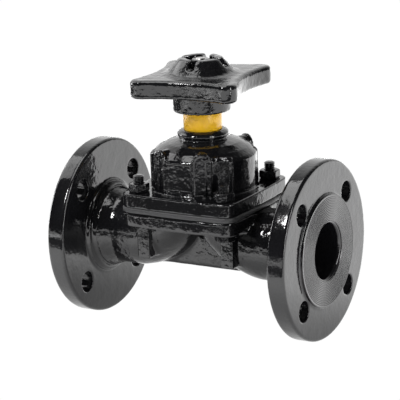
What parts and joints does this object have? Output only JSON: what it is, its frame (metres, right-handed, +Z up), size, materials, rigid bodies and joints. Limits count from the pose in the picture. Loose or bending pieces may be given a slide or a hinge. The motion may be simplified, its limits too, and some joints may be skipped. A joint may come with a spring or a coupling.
{
  "type": "diaphragm valve",
  "caption": "Weir-type diaphragm valve with flanged ends, a domed bonnet, a yellow position band and a rising four-cornered handwheel.",
  "frame": {"origin": "midway between the two end faces, on the surface that the flanges stand on, below the spindle", "axes": "+X along the pipe from inlet to outlet, +Z up the spindle"},
  "size_m": [0.25, 0.165, 0.2509],
  "materials": {
    "body_enamel": "thick gloss black enamel over a sand-cast surface, the flanges' raised faces finely grooved",
    "bonnet_enamel": "thick gloss black enamel over a sand-cast surface",
    "handwheel_enamel": "gloss black enamel over a cast surface",
    "diaphragm_rubber": "black moulded rubber",
    "seal_rubber": "black rubber",
    "compressor_iron": "bare grey cast iron",
    "plain_steel": "plain machined steel",
    "spindle_steel": "bright turned steel",
    "bush_bronze": "machined bronze",
    "indicator_yellow": "smooth yellow plastic",
    "painted_fastener": "steel under the same black enamel"
  },
  "bodies": {
    "root": {"valve_body": "body_enamel", "bonnet": "bonnet_enamel", "diaphragm": "diaphragm_rubber", "spindle_bush": "bush_bronze", "bush_retaining_ring": "plain_steel", "bush_locking_pin": "plain_steel", "spindle_o_ring": "seal_rubber", "position_indicator": "indicator_yellow", "bonnet_studs": "painted_fastener", "bonnet_nuts": "painted_fastener", "body_nuts": "painted_fastener"},
    "compressor": {"compressor": "compressor_iron", "diaphragm_stud": "plain_steel", "retaining_pins": "plain_steel", "thrust_washer": "bush_bronze"},
    "handwheel": {"spindle": "spindle_steel", "handwheel": "handwheel_enamel", "wiper_ring": "seal_rubber", "handwheel_washer": "painted_fastener", "handwheel_nut": "painted_fastener"}
  },
  "joints": [
    {"name": "compressor_lift", "type": "slide", "parent": "root", "child": "compressor", "axis": [0, 0, 1], "range_m": [-0.01601, 0], "deforming": ["diaphragm"]},
    {"name": "handwheel_turn", "type": "hinge", "parent": "compressor", "child": "handwheel", "pos_m": [0, 0, 0.1525], "axis": [0, 0, 1], "range_deg": [-1440, 0]}
  ],
  "couplings": [
    {"joint": "compressor_lift", "follows": "handwheel_turn", "m_per_rad": 0.00063662}
  ]
}
